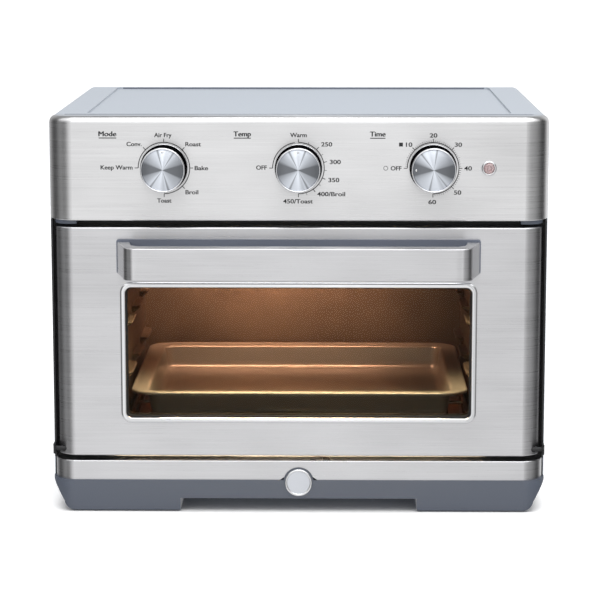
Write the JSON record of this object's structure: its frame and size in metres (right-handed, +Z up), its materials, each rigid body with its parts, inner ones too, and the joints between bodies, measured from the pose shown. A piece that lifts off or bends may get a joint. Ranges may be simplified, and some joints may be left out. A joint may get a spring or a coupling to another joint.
{
  "type": "toaster oven",
  "caption": "Countertop toaster oven with a drop-down glass door, dial controls, wire rack, baking pan and rear-access crumb tray.",
  "frame": {"origin": "on the counter, under the middle of the outline from the handle to the cord gland", "axes": "+Z up, the door faces -Y, +X to the right of a person facing the door"},
  "size_m": [0.442, 0.411, 0.3548],
  "materials": {
    "brushed_steel": "brushed along its length, satin",
    "polished_steel": "polished bright",
    "silver_coat": "coil-coated silver grey, satin",
    "black_coat": "matt black powder coat",
    "zinc_steel": "zinc-coated sheet, dull",
    "cavity_steel": "aluminised sheet, warm grey",
    "slate_plastic": "fine moulded grain",
    "black_plastic": "moulded, matt",
    "rubber": "soft, matt",
    "knob_chrome": "bright plated",
    "spun_aluminium": "spun, with radial sheen",
    "badge_metal": "satin, blank",
    "glass": "clear",
    "lens": "clear pinkish lens",
    "heater_sheath": "heat-darkened steel sheath",
    "ceramic": "unglazed",
    "pan_coat": "champagne-grey non-stick coat",
    "rack_plate": "plated wire",
    "copper_winding": "laminated core and winding",
    "brass": "turned",
    "loom_sleeve": "braided sleeve"
  },
  "bodies": {
    "casing": {"outer_wrap": "silver_coat", "rear_panel": "silver_coat", "casing_screws": "zinc_steel", "cord_gland": "black_plastic", "control_panel": "brushed_steel", "panel_end_caps": "slate_plastic", "control_bracket": "zinc_steel", "front_frame": "black_coat", "lower_trim": "brushed_steel", "base": "slate_plastic", "chassis_floor": "zinc_steel", "foot_pads": "rubber", "badge": "badge_metal", "cavity_left": "cavity_steel", "cavity_right": "cavity_steel", "cavity_back": "cavity_steel", "cavity_ceiling": "cavity_steel", "cavity_floor": "cavity_steel", "rack_guide_left": "cavity_steel", "rack_guide_right": "cavity_steel", "upper_heaters": "heater_sheath", "lower_heaters": "heater_sheath", "heater_bushings": "ceramic", "fan_guard": "cavity_steel", "fan_housing": "zinc_steel", "fan_motor": "copper_winding", "motor_bracket": "zinc_steel", "mode_switch": "black_plastic", "thermostat": "ceramic", "timer_unit": "zinc_steel", "control_screws": "zinc_steel", "wiring_loom": "loom_sleeve", "lamp_holder": "polished_steel", "lamp_lens": "lens", "hinge_pins": "zinc_steel"},
    "door": {"door_skin": "brushed_steel", "door_liner": "cavity_steel", "window_trim": "polished_steel", "window_gasket": "rubber", "outer_glass": "glass", "inner_glass": "glass", "door_handle": "brushed_steel", "handle_backplate": "slate_plastic", "handle_screws": "zinc_steel", "hinge_blocks": "black_plastic", "door_springs": "zinc_steel"},
    "rack": {"wire_rack": "rack_plate", "baking_pan": "pan_coat"},
    "tray": {"crumb_tray": "zinc_steel"},
    "fan": {"convection_fan": "zinc_steel", "fan_shaft": "zinc_steel"},
    "mode_dial": {"mode_knob": "knob_chrome", "mode_knob_face": "spun_aluminium", "mode_shaft": "brass"},
    "temp_dial": {"temp_knob": "knob_chrome", "temp_knob_face": "spun_aluminium", "temp_shaft": "brass"},
    "timer_dial": {"timer_knob": "knob_chrome", "timer_knob_face": "spun_aluminium", "timer_shaft": "brass"}
  },
  "joints": [
    {"name": "door_hinge", "type": "hinge", "parent": "casing", "child": "door", "pos_m": [0, -0.1525, 0.0565], "axis": [1, 0, 0], "range_deg": [0, 90]},
    {"name": "rack_slide", "type": "slide", "parent": "casing", "child": "rack", "axis": [0, -1, 0], "range_m": [0, 0.0503]},
    {"name": "tray_slide", "type": "slide", "parent": "casing", "child": "tray", "axis": [0, 1, 0], "range_m": [0, 0.3]},
    {"name": "mode_knob_turn", "type": "hinge", "parent": "casing", "child": "mode_dial", "pos_m": [-0.118, -0.1585, 0.3096], "axis": [0, 1, 0], "range_deg": [-90, 180]},
    {"name": "temp_knob_turn", "type": "hinge", "parent": "casing", "child": "temp_dial", "pos_m": [0, -0.1585, 0.3096], "axis": [0, 1, 0], "range_deg": [-90, 180]},
    {"name": "timer_knob_turn", "type": "hinge", "parent": "casing", "child": "timer_dial", "pos_m": [0.118, -0.1585, 0.3096], "axis": [0, 1, 0], "range_deg": [0, 270]},
    {"name": "fan_spin", "type": "hinge", "parent": "casing", "child": "fan", "pos_m": [0, 0.0315, 0.265], "axis": [0, 0, 1], "continuous": true}
  ],
  "couplings": [
    {"joint": "rack_slide", "follows": "door_hinge", "m_per_rad": 0.032}
  ]
}
